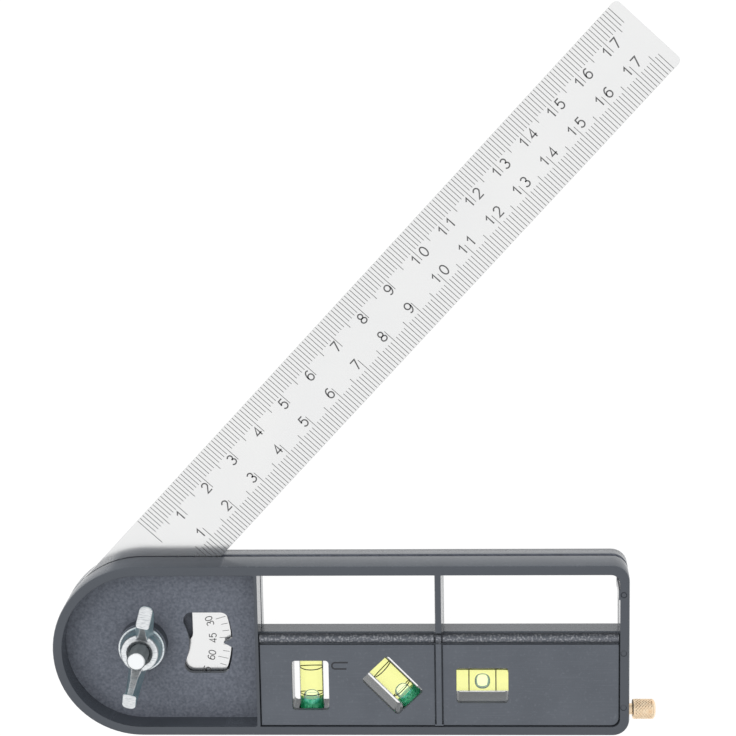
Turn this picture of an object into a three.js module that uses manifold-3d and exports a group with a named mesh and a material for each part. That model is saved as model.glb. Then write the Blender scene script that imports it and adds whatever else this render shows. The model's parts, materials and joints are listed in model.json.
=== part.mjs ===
// Universal angle square: a moulded stock in two shells, with a steel rule that turns in the slot
// between them, a wing nut that clamps it, three spirit vials behind a cover, and a scriber.
// X runs along the stock, Y across it towards the blade, Z out of its front face. Millimetres.
// The origin is the middle of the stock's back face.
import * as THREE from 'three';
import { mergeVertices } from 'three/addons/utils/BufferGeometryUtils.js';
import Module from 'manifold-3d';

const wasm = await Module();
wasm.setup();

// Stock
const stockLength = 147.9;
const stockHeight = 45.4;
const stockThickness = 16;
const stockCornerRadius = 4.2;
const edgeRounding = 0.6;
const rimWidth = 2.4;
const rearShellThickness = 5.1;
const bladeSlotWidth = 2;
const shellSeam = 0.02;
const cutOverrun = 2;
const facetTolerance = 0.004;

// Head: the round end with the recess, the boss for the nut and the window over the protractor
const headLength = 30.5;
const ribWidth = 0.8;
const headFloorThickness = 1.6;
const headCornerRadius = 0.6;
const bossRadius = 6.3;
const bossTopBelowFace = 3.6;
const scaleWindowInnerRadius = 11.8;
const scaleWindowOuterRadius = 23.15;
const scaleWindowHalfHeight = 8.2;
const scaleWindowCorner = 2.2;
const pointerLength = 2.4;
const pointerWidth = 3.2;
const pointerRootShare = 0.75;

// Through windows beside the closed blade
const ledgeLevel = 4.6;
const rearLedgeLevel = 2.1;
const ledgeChamfer = 0.7;
const windowCornerRadius = 2.4;
const strutFromPivot = 76.6;
const strutFrontWidth = 1.5;
const strutRearWidth = 2.3;
const landBelowPivot = 0.6;
const landGap = 0.9;

// Cover over the vials
const coverThickness = 1.9;
const coverGap = 0.35;
const pocketRise = 0.3;
const coverBead = 2.3;
const coverGroove = 0.4;
const coverGrooveDepth = 0.7;
const coverDrop = 0.4;
const coverCornerRadius = 2;
const coverRibWidth = 1.4;

// Blade
const bladeAngleDegrees = 47.1;
const bladeReach = 203;
const bladeThickness = 1;
const bladeCornerRadius = 1.5;
const bladeEdgeInset = 0.1;
const bladeEdgeFromPivot = 0.4;
const bladeHoleRadius = 4.1;
const reliefWidth = 4;
const reliefLength = 9.4;
const reliefReach = 10.6;
const reliefRise = 4.6;
const reliefTurnDegrees = 47.1;

// Pivot: carriage bolt, bush, friction washers, flat washer and wing nut
const boltRadius = 2.5;
const boltLength = 20;
const boltHeadRadius = 6.4;
const boltHeadHeight = 3.2;
const boltHeadRim = 0.8;
const boltHeadRecess = 0.3;
const boltHeadGap = 0.5;
const boltEndChamfer = 0.5;
const boltCrownShare = 0.8;
const boltHoleGap = 0.25;
const squareNeckGap = 0.15;
const bushRadius = 3.9;
const bushBoreGap = 0.2;
const frictionWasherRadius = 8.5;
const frictionWasherThickness = 0.4;
const frictionWasherGap = 0.2;
const washerRadius = 5.95;
const washerThickness = 1;
const washerBoreGap = 0.3;
const nutSeatGap = 0.03;
const nutBaseRadius = 5.6;
const nutTopRadius = 5;
const nutHubHeight = 4;
const nutBoreGap = 0.08;
const nutMouthWidth = 0.7;
const nutTurnDegrees = 78;
const wingFaceReach = 11.4;
const wingFaceHeight = 9.9;
const wingWeb = 1.9;
const wingPadLength = 5.8;
const wingPadWidth = 3.9;
const wingPadDepth = 4.4;
const wingPadCorner = 1;
const wingPadRounding = 0.8;
const wingLeanDegrees = 24;
const wingRootShare = 0.7;

// Vials
const vialRadius = 3.05;
const vialWall = 0.75;
const vialEndWall = 0.9;
const vialFit = 0.1;
const vialWindowLength = 13.3;
const vialWindowWidth = 9.5;
const vialWindowCorner = 0.9;
const rearWindowDrop = 2.7;
const rearWindowSide = 0.6;
const vialBelowCover = 0.05;
const liquidGap = 0.06;
const plugLength = 4;
const vialLevel = -9.2;
const plumbFromPivot = 43.6;
const mitreFromPivot = 64.7;
const levelFromPivot = 87.7;
const shortVialLength = 15.2;
const longVialLength = 21;
const vials = [
  { name: 'plumb', fromPivot: plumbFromPivot, turn: 90, length: shortVialLength },
  { name: 'mitre', fromPivot: mitreFromPivot, turn: 134, length: shortVialLength },
  { name: 'level', fromPivot: levelFromPivot, turn: 180, length: longVialLength },
];

// Scriber: steel needle in a turned brass head
const scriberBelowPivot = 17.8;
const scriberFromFace = 6.7;
const needleRadius = 0.95;
const needleLength = 46;
const needlePointLength = 8;
const needlePointRadius = 0.12;
const needleInHead = 5;
const needleBoreGap = 0.2;
const neckRadius = 1.45;
const neckInside = 9;
const neckOutside = 1;
const neckBoreGap = 0.07;
const knobRadius = 2.6;
const knobLength = 6.1;
const knobRounding = 0.5;
const knobDome = 0.7;
const knobDomeShares = [[0.8, 0.5], [0.45, 0.12]];

// Pins that hold the shells together at the square end
const pinRadius = 0.75;
const pinHoleGap = 0.03;
const pinRecess = 0.15;
const pinInset = 1.5;
const pinLevels = [-0.55, -15.1];

// A round mark of the mould on the front rim, and the thickening of the rim behind it
const markLevel = 15;
const markRadius = 0.8;
const markWidth = 0.22;
const markDepth = 0.25;
const rimBossWidth = 2.6;
const rimBossReach = 0.4;

// Derived places
const half = stockHeight / 2;
const bladeRootRadius = half - bladeEdgeInset;
const stockLeft = -stockLength / 2;
const stockRight = stockLength / 2;
const pivotX = stockLeft + half;
const slotTop = rearShellThickness + bladeSlotWidth;
const headFloorTop = slotTop + headFloorThickness;
const bossTop = stockThickness - bossTopBelowFace;
const innerTop = half - rimWidth;
const innerRight = stockRight - rimWidth;
const windowLeft = pivotX + headLength;
const strutX = pivotX + strutFromPivot;
const coverBack = stockThickness - coverThickness;
const vialAxisZ = coverBack - vialBelowCover - vialRadius;
const scriberY = -scriberBelowPivot;
const scriberZ = stockThickness - scriberFromFace;
const neckBoreRadius = neckRadius + neckBoreGap;
const pinX = stockRight - pinInset;

const roundSteps = 40;
const smallSteps = 20;
const knobSteps = 32;
const cornerSteps = 8;
const crownSteps = 6;
const edgeSteps = 2;
const mergeDistance = 1e-4;

function toSolid(geometry) {
  const bare = geometry.clone();
  bare.deleteAttribute('normal');
  bare.deleteAttribute('uv');
  const merged = mergeVertices(bare, mergeDistance);
  return new wasm.Manifold(new wasm.Mesh({
    numProp: 3,
    vertProperties: new Float32Array(merged.attributes.position.array),
    triVerts: new Uint32Array(merged.index.array),
  }));
}

function toGeometry(solid) {
  const mesh = solid.simplify(facetTolerance).getMesh();
  const geometry = new THREE.BufferGeometry();
  geometry.setAttribute('position', new THREE.BufferAttribute(new Float32Array(mesh.vertProperties), 3));
  geometry.setIndex(new THREE.BufferAttribute(new Uint32Array(mesh.triVerts), 1));
  geometry.computeVertexNormals();
  return geometry;
}

function joined(first, ...others) {
  return others.reduce((whole, piece) => whole.add(piece), first);
}

function cut(first, ...others) {
  return others.reduce((whole, piece) => whole.subtract(piece), first);
}

// An outline of [x, y] points as a flat shape
function flat(outline) {
  return new THREE.Shape(outline.map(([x, y]) => new THREE.Vector2(x, y)));
}

// A flat outline raised from one level to another
function plate(outline, low, high) {
  const geometry = new THREE.ExtrudeGeometry(flat(outline), { depth: 1, bevelEnabled: false });
  const places = geometry.attributes.position;
  for (let corner = 0; corner < places.count; corner += 1) {
    places.setZ(corner, places.getZ(corner) > 0 ? high : low);
  }
  return toSolid(geometry);
}

function block(x0, y0, z0, x1, y1, z1) {
  return plate([[x0, y0], [x1, y0], [x1, y1], [x0, y1]], z0, z1);
}

// A round bar along Z
function bar(x, y, radius, low, high, steps = roundSteps) {
  const geometry = new THREE.CylinderGeometry(radius, radius, high - low, steps);
  return toSolid(geometry.rotateX(Math.PI / 2).translate(x, y, (low + high) / 2));
}

// A profile of [radius, height] points turned about Z
function turned(points, steps = roundSteps) {
  const profile = points.map(([radius, height]) => new THREE.Vector2(radius, height));
  return toSolid(new THREE.LatheGeometry(profile, steps).rotateX(Math.PI / 2));
}

function ring(inner, outer, low, high, steps = roundSteps) {
  return turned([[inner, low], [outer, low], [outer, high], [inner, high], [inner, low]], steps);
}

// The points of an arc, its two ends included
function arc(x, y, radius, start, end, steps = cornerSteps) {
  return Array.from({ length: steps + 1 }, (unused, step) => {
    const angle = start + (end - start) * step / steps;
    return [x + Math.cos(angle) * radius, y + Math.sin(angle) * radius];
  });
}

// A box outline with a radius for each corner, from the lower left one anticlockwise
function boxOutline(x0, y0, x1, y1, radii) {
  const corners = [[x0, y0, 1, 1], [x1, y0, -1, 1], [x1, y1, -1, -1], [x0, y1, 1, -1]];
  return corners.flatMap(([x, y, inX, inY], index) => {
    const radius = radii[index];
    const start = Math.PI * (1 + index / 2);
    const turn = arc(x + inX * radius, y + inY * radius, radius, start, start + Math.PI / 2);
    return radius > 0 ? turn : [[x, y]];
  });
}

// The stock's outline: a half circle round the pivot and two rounded corners, drawn in by an inset
function stockOutline(inset, right, rightRadius) {
  const reach = half - inset;
  return [
    ...arc(right - rightRadius, -reach + rightRadius, rightRadius, -Math.PI / 2, 0),
    ...arc(right - rightRadius, reach - rightRadius, rightRadius, 0, Math.PI / 2),
    ...arc(pivotX, 0, reach, Math.PI / 2, Math.PI * 1.5, roundSteps),
  ];
}

// The whole stock with its front and back edges rounded over
function stockBlank() {
  const outline = stockOutline(edgeRounding, stockRight - edgeRounding, stockCornerRadius - edgeRounding);
  const geometry = new THREE.ExtrudeGeometry(flat(outline), {
    depth: stockThickness - 2 * edgeRounding,
    bevelEnabled: true,
    bevelThickness: edgeRounding,
    bevelSize: edgeRounding,
    bevelSegments: edgeSteps,
  });
  return toSolid(geometry.translate(0, 0, edgeRounding));
}

function slice(solid, low, high) {
  const reachX = stockLength;
  const reachY = stockHeight;
  return solid.intersect(block(-reachX, -reachY, low, reachX, reachY, high));
}

function vialWindow(vial, low, high) {
  const reach = vialWindowLength / 2;
  const side = vialWindowWidth / 2;
  const corners = Array(4).fill(vialWindowCorner);
  return plate(boxOutline(-reach, -side, reach, side, corners), low, high)
    .rotate([0, 0, vial.turn])
    .translate([pivotX + vial.fromPivot, vialLevel, 0]);
}

// The opening behind a vial, larger than the window so that light reaches the vial from behind
function rearVialWindow(vial, low, high) {
  const window = vialWindow(vial, low, high);
  return wasm.Manifold.hull([window, window.translate([-rearWindowSide, -rearWindowDrop, 0])]);
}

// The seat that a vial is laid in from the front: round below its axis, straight above it
function vialSeat(vial) {
  const radius = vialRadius + vialFit;
  const reach = vial.length / 2 + vialFit;
  const rise = coverBack - vialAxisZ + cutOverrun;
  const round = arc(0, 0, radius, Math.PI, 2 * Math.PI, smallSteps / 2);
  return plate([[-radius, rise], ...round, [radius, rise]], -reach, reach)
    .rotate([90, 0, 90])
    .rotate([0, 0, vial.turn])
    .translate([pivotX + vial.fromPivot, vialLevel, vialAxisZ]);
}

// The pocket round the cover, also used as the cover's own outline with a gap
function coverOutline(gap, top) {
  return boxOutline(windowLeft + gap, -innerTop + gap, innerRight - gap, top, [0, coverCornerRadius, 0, 0]);
}

// The window over the protractor: two arcs round the pivot and straight runs above and below
function scaleWindowOutline() {
  const corner = scaleWindowCorner;
  const rise = scaleWindowHalfHeight - corner;
  const outerReach = Math.sqrt((scaleWindowOuterRadius - corner) ** 2 - rise ** 2);
  const innerReach = Math.sqrt((scaleWindowInnerRadius + corner) ** 2 - rise ** 2);
  const outerAngle = Math.atan2(rise, outerReach);
  const innerAngle = Math.atan2(rise, innerReach);
  const quarter = Math.PI / 2;
  return [
    ...arc(pivotX + innerReach, -rise, corner, Math.PI - innerAngle, 3 * quarter),
    ...arc(pivotX + outerReach, -rise, corner, -quarter, -outerAngle),
    ...arc(pivotX, 0, scaleWindowOuterRadius, -outerAngle, outerAngle),
    ...arc(pivotX + outerReach, rise, corner, outerAngle, quarter),
    ...arc(pivotX + innerReach, rise, corner, quarter, Math.PI + innerAngle),
    ...arc(pivotX, 0, scaleWindowInnerRadius, innerAngle, -innerAngle),
  ];
}

function pointer() {
  const tip = pivotX + scaleWindowOuterRadius - pointerLength;
  const root = tip + pointerLength * (1 + pointerRootShare);
  const rootHalf = pointerWidth * pointerRootShare;
  return plate([[tip, 0], [root, -rootHalf], [root, rootHalf]], rearShellThickness, stockThickness);
}

// A strut across a window, wider towards the parting of the shells, drawn past the window all round
function strut(low, high, lowWidth, highWidth) {
  const outline = [
    [-lowWidth / 2, low - cutOverrun],
    [lowWidth / 2, low - cutOverrun],
    [lowWidth / 2, low],
    [highWidth / 2, high],
    [highWidth / 2, high + cutOverrun],
    [-highWidth / 2, high + cutOverrun],
    [-highWidth / 2, high],
    [-lowWidth / 2, low],
  ];
  return plate(outline, 0, half).rotate([90, 0, 0]).translate([strutX, half, 0]);
}

function windows(bottom, low, high) {
  const outline = boxOutline(windowLeft, bottom, innerRight, innerTop, [0, 0, windowCornerRadius, 0]);
  return plate(outline, low, high);
}

// Breaks the front edge of the ledge between two places along it
function ledgeBreak(from, to) {
  const reach = ledgeChamfer + pocketRise;
  const outline = [
    [ledgeLevel - reach, coverBack + pocketRise],
    [ledgeLevel + pocketRise, coverBack - reach],
    [ledgeLevel + pocketRise, coverBack + pocketRise],
  ];
  return plate(outline, from, to).rotate([90, 0, 90]);
}

function scriberBore() {
  const neckDepth = neckInside + neckBoreGap;
  const needleDepth = neckInside - needleInHead + needleLength + needleBoreGap;
  const needleBoreRadius = needleRadius + needleBoreGap;
  return turned([
    [0, -needleDepth],
    [needleBoreRadius, -needleDepth],
    [needleBoreRadius, -neckDepth],
    [neckBoreRadius, -neckDepth],
    [neckBoreRadius, cutOverrun],
    [0, cutOverrun],
  ], smallSteps).rotate([0, 90, 0]).translate([stockRight, scriberY, scriberZ]);
}

// The thickening of the rim beside the mark, where it stands out into the window
function rimBoss(low, high) {
  return block(innerRight - rimBossReach, markLevel - rimBossWidth / 2, low,
    innerRight + cutOverrun, markLevel + rimBossWidth / 2, high);
}

function pinHoles(low, high) {
  return pinLevels.map((level) => bar(pinX, level, pinRadius + pinHoleGap, low, high, smallSteps));
}

function frontShell() {
  const under = slotTop - cutOverrun;
  const over = stockThickness + cutOverrun;
  const recess = plate(stockOutline(rimWidth, windowLeft - ribWidth, headCornerRadius), headFloorTop, over);
  const scaleWindow = plate(scaleWindowOutline(), under, headFloorTop + cutOverrun);
  const strutHalf = strutRearWidth / 2;
  return cut(
    slice(stockBlank(), slotTop, over),
    cut(recess, bar(pivotX, 0, bossRadius, slotTop, bossTop)),
    cut(scaleWindow, pointer()),
    cut(
      windows(ledgeLevel, under, over),
      strut(slotTop, stockThickness, strutRearWidth, strutFrontWidth),
      rimBoss(under, over),
    ),
    plate(coverOutline(0, ledgeLevel + pocketRise), coverBack, over),
    ledgeBreak(windowLeft, strutX - strutHalf),
    ledgeBreak(strutX + strutHalf, innerRight),
    scriberBore(),
    bar(pivotX, 0, boltRadius + boltHoleGap, under, bossTop + cutOverrun),
    ...vials.map((vial) => vialWindow(vial, under, over)),
    ...vials.map(vialSeat),
    ...pinHoles(under, over),
    ring(markRadius - markWidth, markRadius, stockThickness - markDepth, over, smallSteps)
      .translate([pinX, markLevel, 0]),
  );
}

// Its land fills the slot below the closed blade, clear of the protractor disc
function rearShell() {
  const top = slotTop - shellSeam;
  const over = slotTop + cutOverrun;
  const landLeft = pivotX + half + landGap;
  const neckHalf = boltRadius + squareNeckGap;
  return cut(
    slice(stockBlank(), -cutOverrun, top),
    block(-stockLength, -stockHeight, rearShellThickness, landLeft, stockHeight, over),
    block(landLeft - cutOverrun, -landBelowPivot, rearShellThickness, stockLength, stockHeight, over),
    cut(
      windows(rearLedgeLevel, -cutOverrun, over),
      strut(0, rearShellThickness, strutRearWidth, strutRearWidth),
      rimBoss(-cutOverrun, over),
    ),
    bar(pivotX, 0, boltHeadRadius + boltHeadGap, -cutOverrun, boltHeadRecess + boltHeadHeight),
    block(pivotX - neckHalf, -neckHalf, 0, pivotX + neckHalf, neckHalf, rearShellThickness + cutOverrun),
    ...vials.map((vial) => rearVialWindow(vial, -cutOverrun, over)),
    ...pinHoles(-cutOverrun, over),
  );
}

// A round bead along the top of each half, a groove under it, and flat panels a little below the rim
function vialCover() {
  const face = stockThickness;
  const over = face + cutOverrun;
  const top = ledgeLevel - coverGap / 2;
  const above = top + cutOverrun;
  const beadRadius = coverBead / 2;
  const beadFoot = face - beadRadius;
  const grooveBottom = top - coverBead - coverGroove;
  const grooveFloor = face - coverGrooveDepth - coverDrop;
  const ribLeft = strutX - coverRibWidth / 2;
  const ribRight = strutX + coverRibWidth / 2;
  const reach = stockLength / 2;
  const panel = (x0, x1) => joined(
    block(x0, -half, face - coverDrop, x1, grooveBottom, over),
    block(x0, grooveBottom, beadFoot, x1, above, over),
  );
  const bead = (x0, x1) => bar(-beadFoot, top - beadRadius, beadRadius, x0, x1).rotate([0, 90, 0]);
  const slit = (x) => block(x, -innerTop + 2 * coverGap, grooveFloor, x + coverGroove, above, over);
  return cut(
    joined(
      cut(
        plate(coverOutline(coverGap, top), coverBack, face),
        panel(-reach, ribLeft - coverGroove),
        panel(ribRight + coverGroove, reach),
      ),
      bead(windowLeft + coverGap, ribLeft - coverGroove),
      bead(ribRight + coverGroove, innerRight - coverGap),
    ),
    block(-reach, -half, coverBack - coverBead, reach, half, coverBack),
    slit(ribLeft - coverGroove),
    slit(ribRight),
    ...vials.map((vial) => vialWindow(vial, coverBack - cutOverrun, over)),
  );
}

// The rule with its round root, in its own frame: X along the rule from the pivot
function blade() {
  const low = rearShellThickness + (bladeSlotWidth - bladeThickness) / 2;
  const high = low + bladeThickness;
  const corner = bladeCornerRadius;
  const rootEnd = 2 * Math.PI + Math.asin(bladeEdgeFromPivot / bladeRootRadius);
  const outline = [
    ...arc(bladeReach - corner, bladeEdgeFromPivot + corner, corner, -Math.PI / 2, 0),
    ...arc(bladeReach - corner, bladeRootRadius - corner, corner, 0, Math.PI / 2),
    ...arc(0, 0, bladeRootRadius, Math.PI / 2, rootEnd, 2 * roundSteps),
  ];
  const slotReach = (reliefLength - reliefWidth) / 2;
  const slot = [
    ...arc(0, slotReach, reliefWidth / 2, 0, Math.PI),
    ...arc(0, -slotReach, reliefWidth / 2, Math.PI, 2 * Math.PI),
  ];
  const relief = plate(slot, low - cutOverrun, high + cutOverrun)
    .translate([reliefReach, reliefRise, 0])
    .rotate([0, 0, -reliefTurnDegrees]);
  const hole = bar(0, 0, bladeHoleRadius, low - cutOverrun, high + cutOverrun);
  return cut(plate(outline, low, high), hole, relief);
}

function carriageBolt() {
  const under = boltHeadRecess + boltHeadHeight;
  const end = under + boltLength;
  const dome = new THREE.Path();
  dome.moveTo(0, boltHeadRecess);
  const shoulder = boltHeadRadius * boltCrownShare;
  dome.quadraticCurveTo(shoulder, boltHeadRecess, boltHeadRadius, under - boltHeadRim);
  const crown = dome.getPoints(crownSteps).map((point) => [point.x, point.y]);
  const round = turned([
    ...crown,
    [boltHeadRadius, under],
    [boltRadius, under],
    [boltRadius, end - boltEndChamfer],
    [boltRadius - boltEndChamfer, end],
    [0, end],
  ]);
  const neckFoot = under - boltHeadRim;
  const neck = block(-boltRadius, -boltRadius, neckFoot, boltRadius, boltRadius, rearShellThickness);
  return joined(round, neck);
}

// One wing, standing in the plane of X and Z: a curved web that thickens into a rounded pad
function wing() {
  const lean = THREE.MathUtils.degToRad(wingLeanDegrees);
  const along = (across, down) => [
    wingFaceReach + Math.cos(lean) * across - Math.sin(lean) * down,
    wingFaceHeight - Math.sin(lean) * across - Math.cos(lean) * down,
  ];
  const side = wingPadLength / 2 - wingPadRounding;
  const outer = along(side, wingPadDepth / 2);
  const inner = along(-side, wingPadDepth / 2);
  const root = nutTopRadius * wingRootShare;
  const web = new THREE.Shape();
  web.moveTo(root, nutMouthWidth);
  web.quadraticCurveTo(outer[0], nutMouthWidth, outer[0], outer[1]);
  web.lineTo(inner[0], inner[1]);
  web.quadraticCurveTo(inner[0], nutHubHeight, root, nutHubHeight);
  web.closePath();
  const sheet = toSolid(new THREE.ExtrudeGeometry(web, {
    depth: wingWeb,
    bevelEnabled: false,
    curveSegments: crownSteps,
  }).translate(0, 0, -wingWeb / 2).rotateX(Math.PI / 2));
  const halfWidth = wingPadWidth / 2 - wingPadRounding;
  const corners = Array(4).fill(wingPadCorner);
  const footprint = flat(boxOutline(-side, -halfWidth, side, halfWidth, corners));
  const pad = toSolid(new THREE.ExtrudeGeometry(footprint, {
    depth: wingPadDepth - 2 * wingPadRounding,
    bevelEnabled: true,
    bevelThickness: wingPadRounding,
    bevelSize: wingPadRounding,
    bevelSegments: edgeSteps,
  }).translate(0, 0, wingPadRounding - wingPadDepth));
  return joined(sheet, pad.rotate([0, wingLeanDegrees, 0]).translate([wingFaceReach, 0, wingFaceHeight]));
}

function wingNut() {
  const bore = boltRadius + nutBoreGap;
  const hub = turned([
    [0, 0],
    [nutBaseRadius, 0],
    [nutTopRadius, nutHubHeight - nutMouthWidth],
    [nutTopRadius - nutMouthWidth, nutHubHeight],
    [0, nutHubHeight],
  ]);
  const mouth = turned([
    [0, nutHubHeight - nutMouthWidth],
    [bore, nutHubHeight - nutMouthWidth],
    [bore + 2 * nutMouthWidth, nutHubHeight + nutMouthWidth],
    [0, nutHubHeight + nutMouthWidth],
  ]);
  return cut(
    joined(hub, wing(), wing().rotate([0, 0, 180])),
    bar(0, 0, bore, -cutOverrun, wingFaceHeight + cutOverrun),
    mouth,
  );
}

// A vial along X: a clear tube with a blind bore, closed by a plug at its lower end
function vialTube(vial) {
  const outer = bar(0, 0, vialRadius, -vial.length / 2, vial.length / 2, smallSteps);
  const bore = bar(0, 0, vialRadius - vialWall, -vial.length / 2 - cutOverrun,
    vial.length / 2 - vialEndWall, smallSteps);
  return cut(outer, bore);
}

function vialLiquid(vial) {
  return bar(0, 0, vialRadius - vialWall - liquidGap, -vial.length / 2 + plugLength + liquidGap,
    vial.length / 2 - vialEndWall - liquidGap, smallSteps);
}

function vialPlug(vial) {
  return bar(0, 0, vialRadius - vialWall - liquidGap, -vial.length / 2 + liquidGap,
    -vial.length / 2 + plugLength, smallSteps);
}

// The scriber's pieces lie along Z from the stock's end face, which is their zero
function scriberHead() {
  const socket = -neckInside + needleInHead;
  const foot = neckOutside;
  const end = neckOutside + knobLength;
  const boreRadius = needleRadius + nutSeatGap;
  return turned([
    [0, socket],
    [boreRadius, socket],
    [boreRadius, -neckInside],
    [neckRadius, -neckInside],
    [neckRadius, foot],
    [knobRadius - knobRounding, foot],
    [knobRadius, foot + knobRounding],
    [knobRadius, end - knobDome - knobRounding / 2],
    ...knobDomeShares.map(([across, down]) => [knobRadius * across, end - knobDome * down]),
    [0, end],
  ], knobSteps);
}

function scriberNeedle() {
  const head = -neckInside + needleInHead - nutSeatGap;
  const tip = head - needleLength;
  return turned([
    [0, tip],
    [needlePointRadius, tip],
    [needleRadius, tip + needlePointLength],
    [needleRadius, head],
    [0, head],
  ], smallSteps);
}

const stockPlastic = new THREE.MeshStandardMaterial({ color: 0x5c6269, roughness: 0.55, metalness: 0 });
const coverPlastic = new THREE.MeshStandardMaterial({ color: 0x63696f, roughness: 0.6, metalness: 0 });
const ruleSteel = new THREE.MeshStandardMaterial({ color: 0xd9dadb, roughness: 0.35, metalness: 0.9 });
const zincSteel = new THREE.MeshStandardMaterial({ color: 0xd2dade, roughness: 0.3, metalness: 1 });
const fibre = new THREE.MeshStandardMaterial({ color: 0x2c2f33, roughness: 0.8, metalness: 0 });
const clearPlastic = new THREE.MeshStandardMaterial({
  color: 0xf2f6e2, roughness: 0.08, metalness: 0, transparent: true, opacity: 0.35,
});
const vialFluid = new THREE.MeshStandardMaterial({
  color: 0xe6f26a, roughness: 0.1, metalness: 0, transparent: true, opacity: 0.8,
});
const plugPlastic = new THREE.MeshStandardMaterial({ color: 0x2f8f5a, roughness: 0.4, metalness: 0 });
const brass = new THREE.MeshStandardMaterial({ color: 0xd9b07a, roughness: 0.3, metalness: 1 });

const square = new THREE.Group();

function addPiece(parent, name, solid, material) {
  const piece = new THREE.Mesh(toGeometry(solid), material);
  piece.name = name;
  parent.add(piece);
  return piece;
}

addPiece(square, 'front_shell', frontShell(), stockPlastic);
addPiece(square, 'rear_shell', rearShell(), stockPlastic);
addPiece(square, 'vial_cover', vialCover(), coverPlastic);

const pivot = new THREE.Group();
pivot.position.x = pivotX;
square.add(pivot);
addPiece(pivot, 'carriage_bolt', carriageBolt(), zincSteel);
addPiece(pivot, 'pivot_bush', ring(boltRadius + bushBoreGap, bushRadius, rearShellThickness + nutSeatGap,
  slotTop - nutSeatGap), fibre);
const bladeClearance = (bladeSlotWidth - bladeThickness) / 2 - frictionWasherThickness;
const washerBore = bladeHoleRadius + frictionWasherGap;
const rearWasherBack = rearShellThickness + bladeClearance / 2;
const frontWasherFace = slotTop - bladeClearance / 2;
addPiece(pivot, 'rear_friction_washer', ring(washerBore, frictionWasherRadius,
  rearWasherBack, rearWasherBack + frictionWasherThickness), fibre);
addPiece(pivot, 'front_friction_washer', ring(washerBore, frictionWasherRadius,
  frontWasherFace - frictionWasherThickness, frontWasherFace), fibre);
addPiece(pivot, 'flat_washer', ring(boltRadius + washerBoreGap, washerRadius, bossTop,
  bossTop + washerThickness), zincSteel);

const nut = addPiece(pivot, 'wing_nut', wingNut(), zincSteel);
nut.position.z = bossTop + washerThickness + nutSeatGap;
nut.rotation.z = THREE.MathUtils.degToRad(nutTurnDegrees);

const rule = addPiece(pivot, 'blade', blade(), ruleSteel);
rule.rotation.z = THREE.MathUtils.degToRad(bladeAngleDegrees);

for (const vial of vials) {
  const seat = new THREE.Group();
  seat.position.set(pivotX + vial.fromPivot, vialLevel, vialAxisZ);
  seat.rotation.z = THREE.MathUtils.degToRad(vial.turn);
  square.add(seat);
  const lying = new THREE.Group();
  lying.rotation.y = Math.PI / 2;
  seat.add(lying);
  addPiece(lying, `${vial.name}_vial_tube`, vialTube(vial), clearPlastic);
  addPiece(lying, `${vial.name}_vial_liquid`, vialLiquid(vial), vialFluid);
  addPiece(lying, `${vial.name}_vial_plug`, vialPlug(vial), plugPlastic);
}

const scriber = new THREE.Group();
scriber.position.set(stockRight, scriberY, scriberZ);
scriber.rotation.y = Math.PI / 2;
square.add(scriber);
addPiece(scriber, 'scriber_head', scriberHead(), brass);
addPiece(scriber, 'scriber_needle', scriberNeedle(), zincSteel);

pinLevels.forEach((level, index) => {
  addPiece(square, `assembly_pin_${index + 1}`, bar(pinX, level, pinRadius, pinRecess,
    stockThickness - pinRecess, smallSteps), stockPlastic);
});

export default square;
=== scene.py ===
import json
import math
from mathutils import Euler, Matrix, Vector, noise
import bmesh
import bpy


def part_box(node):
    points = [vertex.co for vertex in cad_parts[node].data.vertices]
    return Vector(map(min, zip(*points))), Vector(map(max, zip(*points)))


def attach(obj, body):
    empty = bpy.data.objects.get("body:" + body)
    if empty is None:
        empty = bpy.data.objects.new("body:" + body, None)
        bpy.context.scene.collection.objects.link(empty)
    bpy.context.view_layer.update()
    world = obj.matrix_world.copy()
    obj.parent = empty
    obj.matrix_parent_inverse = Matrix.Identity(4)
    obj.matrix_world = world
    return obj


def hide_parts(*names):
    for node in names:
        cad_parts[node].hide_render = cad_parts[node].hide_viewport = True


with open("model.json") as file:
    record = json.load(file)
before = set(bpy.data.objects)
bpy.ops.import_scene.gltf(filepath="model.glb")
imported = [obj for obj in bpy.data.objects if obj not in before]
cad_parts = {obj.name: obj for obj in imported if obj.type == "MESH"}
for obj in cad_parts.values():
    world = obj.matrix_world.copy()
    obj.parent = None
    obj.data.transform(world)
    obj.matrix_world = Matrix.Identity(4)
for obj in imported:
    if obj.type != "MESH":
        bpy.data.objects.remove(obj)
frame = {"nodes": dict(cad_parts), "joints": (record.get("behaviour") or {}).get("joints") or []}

for spare in ("Cube", "Light", "Camera"):
    if spare in bpy.data.objects:
        bpy.data.objects.remove(bpy.data.objects[spare])
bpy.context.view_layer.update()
MM = 0.001


# The camera looks almost straight down on the stock's front face. Its place, turn and focal
# length are those of the photograph, so the picture's middle is a little off the lens's.
IMAGE_SIDE = 736
FOCAL_PIXELS = 2533.7
LENS_MIDDLE_PIXELS = (375.2, 362.6)
SENSOR_WIDTH = 36.0
CAMERA_PLACE = (42.07 * MM, 210.61 * MM, 631.64 * MM)
CAMERA_TURN_DEGREES = (-12.365, 2.870, -0.375)

lens = bpy.data.cameras.new("camera")
camera = bpy.data.objects.new("camera", lens)
bpy.context.scene.collection.objects.link(camera)
bpy.context.scene.camera = camera
lens.sensor_width = SENSOR_WIDTH
lens.lens = FOCAL_PIXELS / IMAGE_SIDE * SENSOR_WIDTH
lens.shift_x = 0.5 - LENS_MIDDLE_PIXELS[0] / IMAGE_SIDE
lens.shift_y = LENS_MIDDLE_PIXELS[1] / IMAGE_SIDE - 0.5
camera.location = CAMERA_PLACE
camera.rotation_euler = Euler([math.radians(turn) for turn in CAMERA_TURN_DEGREES], "ZYX")
camera.rotation_mode = "ZYX"


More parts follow.
